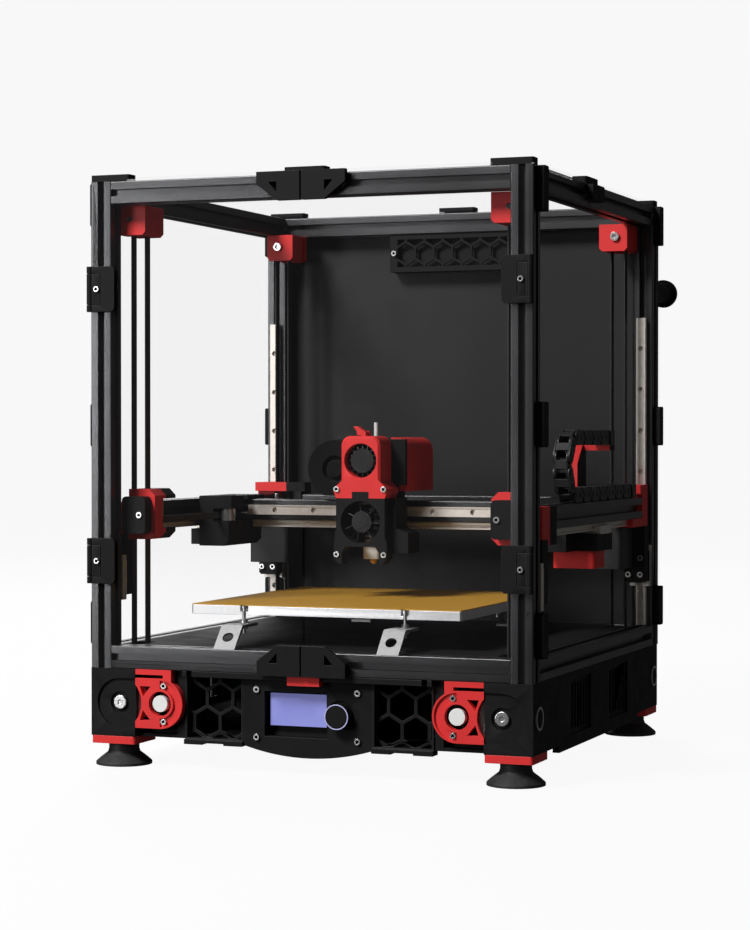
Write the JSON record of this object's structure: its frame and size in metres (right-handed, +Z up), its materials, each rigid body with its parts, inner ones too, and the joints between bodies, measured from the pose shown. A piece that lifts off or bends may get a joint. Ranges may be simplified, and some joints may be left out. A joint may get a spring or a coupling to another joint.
{
  "type": "fdm printer",
  "caption": "Enclosed desktop filament printer: slotted-profile frame, gantry that climbs on belts, toolhead with two fans, fixed heated bed, clear doors and honeycomb skirts.",
  "frame": {"origin": "on the floor, at the middle of the square frame", "axes": "+X to the right seen from the front, +Y to the back, +Z up"},
  "size_m": [0.422, 0.504, 0.523],
  "materials": {
    "black_profile": "black anodised, satin",
    "black_print": "fine printed layer lines",
    "red_print": "fine printed layer lines",
    "black_sheet": "smooth satin sheet",
    "clear_sheet": "clear polished sheet",
    "bare_aluminium": "milled, satin",
    "gold_sheet": "textured powder coat",
    "steel_rail": "ground steel",
    "bright_steel": "bright plated",
    "motor_black": "satin paint over steel",
    "belt_rubber": "fabric backed rubber",
    "foot_rubber": "moulded rubber",
    "screen": "lit display behind a clear cover",
    "fan_plastic": "moulded nylon",
    "white_tube": "smooth fluoropolymer",
    "hotend_metal": "turned",
    "circuit": "circuit board and perforated case",
    "chain_plastic": "moulded nylon links"
  },
  "bodies": {
    "frame": {"uprights": "black_profile", "top_beams": "black_profile", "bottom_beams": "black_profile", "deck_panels": "black_sheet", "bed_brackets": "bare_aluminium", "bed_plate": "bare_aluminium", "build_sheet": "gold_sheet", "z_drive_housings": "black_print", "z_drive_plates": "red_print", "z_motors": "motor_black", "z_belts": "belt_rubber", "z_idlers": "red_print", "z_rails": "steel_rail", "base_trims": "red_print", "rubber_feet": "foot_rubber", "front_skirts": "black_print", "side_skirts": "black_print", "display_housing": "black_print", "display_screen": "screen", "rear_panel": "black_sheet", "clear_panels": "clear_sheet", "panel_clips": "black_print", "exhaust_housing": "black_print", "spool_holder": "black_print", "hinge_bases": "black_print", "power_inlet": "black_print", "electronics": "circuit", "fasteners": "bright_steel"},
    "gantry": {"gantry_beams": "black_profile", "y_rails": "steel_rail", "z_joints": "black_print", "front_idlers": "red_print", "front_idler_covers": "black_print", "ab_drive_frames": "red_print", "ab_motors": "motor_black", "gantry_belts": "belt_rubber"},
    "cross_beam": {"x_beam": "black_profile", "x_rails": "steel_rail", "xy_joints": "black_print", "endstop_pod": "red_print"},
    "toolhead": {"x_carriage": "black_print", "toolhead_hood": "red_print", "fan_shroud": "black_print", "extruder": "black_print", "hotend": "hotend_metal", "filament_tube": "white_tube"},
    "cable_chain": {"cable_chain": "chain_plastic"},
    "hotend_fan": {"hotend_fan": "fan_plastic"},
    "blower_fan": {"blower_fan": "fan_plastic"},
    "extruder_latch": {"extruder_latch": "red_print"},
    "left_door": {"left_door_panel": "clear_sheet", "left_door_fittings": "black_print"},
    "right_door": {"right_door_panel": "clear_sheet", "right_door_fittings": "black_print"},
    "display_knob": {"display_knob": "black_print"},
    "power_switch": {"power_switch": "fan_plastic"},
    "z_shaft_front_left": {"z_shaft_front_left": "bright_steel"},
    "z_shaft_front_right": {"z_shaft_front_right": "bright_steel"},
    "z_shaft_rear_left": {"z_shaft_rear_left": "bright_steel"},
    "z_shaft_rear_right": {"z_shaft_rear_right": "bright_steel"}
  },
  "joints": [
    {"name": "gantry_lift", "type": "slide", "parent": "frame", "child": "gantry", "axis": [0, 0, 1], "range_m": [-0.0295, 0.19]},
    {"name": "beam_travel", "type": "slide", "parent": "gantry", "child": "cross_beam", "axis": [0, 1, 0], "range_m": [-0.099, 0.066]},
    {"name": "toolhead_travel", "type": "slide", "parent": "cross_beam", "child": "toolhead", "axis": [1, 0, 0], "range_m": [-0.095, 0.105]},
    {"name": "chain_roll", "type": "slide", "parent": "gantry", "child": "cable_chain", "axis": [0, 1, 0], "range_m": [-0.0495, 0.033]},
    {"name": "hotend_fan_spin", "type": "hinge", "parent": "toolhead", "child": "hotend_fan", "pos_m": [-0.0095, -0.0425, 0.2132], "axis": [0, 1, 0], "continuous": true},
    {"name": "blower_spin", "type": "hinge", "parent": "toolhead", "child": "blower_fan", "pos_m": [-0.0095, -0.036, 0.2697], "axis": [0, 1, 0], "continuous": true},
    {"name": "latch_turn", "type": "hinge", "parent": "toolhead", "child": "extruder_latch", "pos_m": [-0.0075, -0.041, 0.2948], "axis": [0, 1, 0], "range_deg": [0, 75]},
    {"name": "left_door_hinge", "type": "hinge", "parent": "frame", "child": "left_door", "pos_m": [-0.2035, -0.2095, 0.302], "axis": [0, 0, -1], "range_deg": [0, 110]},
    {"name": "right_door_hinge", "type": "hinge", "parent": "frame", "child": "right_door", "pos_m": [0.2035, -0.2095, 0.302], "axis": [0, 0, 1], "range_deg": [0, 110]},
    {"name": "knob_turn", "type": "hinge", "parent": "frame", "child": "display_knob", "pos_m": [0.031, -0.204, 0.053], "axis": [0, -1, 0], "continuous": true},
    {"name": "power_rocker", "type": "hinge", "parent": "frame", "child": "power_switch", "pos_m": [-0.003, 0.204, 0.057], "axis": [1, 0, 0], "range_deg": [-14, 0]},
    {"name": "z_shaft_turn_front_left", "type": "hinge", "parent": "frame", "child": "z_shaft_front_left", "pos_m": [-0.1774, -0.175, 0.057], "axis": [0, 1, 0], "continuous": true},
    {"name": "z_shaft_turn_front_right", "type": "hinge", "parent": "frame", "child": "z_shaft_front_right", "pos_m": [0.1774, -0.175, 0.057], "axis": [0, 1, 0], "continuous": true},
    {"name": "z_shaft_turn_rear_left", "type": "hinge", "parent": "frame", "child": "z_shaft_rear_left", "pos_m": [-0.1774, 0.175, 0.057], "axis": [0, 1, 0], "continuous": true},
    {"name": "z_shaft_turn_rear_right", "type": "hinge", "parent": "frame", "child": "z_shaft_rear_right", "pos_m": [0.1774, 0.175, 0.057], "axis": [0, 1, 0], "continuous": true}
  ],
  "couplings": [
    {"joint": "chain_roll", "follows": "beam_travel", "ratio": 0.5},
    {"joint": "z_shaft_turn_front_left", "follows": "gantry_lift", "rad_per_m": 156.25},
    {"joint": "z_shaft_turn_front_right", "follows": "gantry_lift", "rad_per_m": -156.25},
    {"joint": "z_shaft_turn_rear_left", "follows": "gantry_lift", "rad_per_m": 156.25},
    {"joint": "z_shaft_turn_rear_right", "follows": "gantry_lift", "rad_per_m": -156.25}
  ]
}
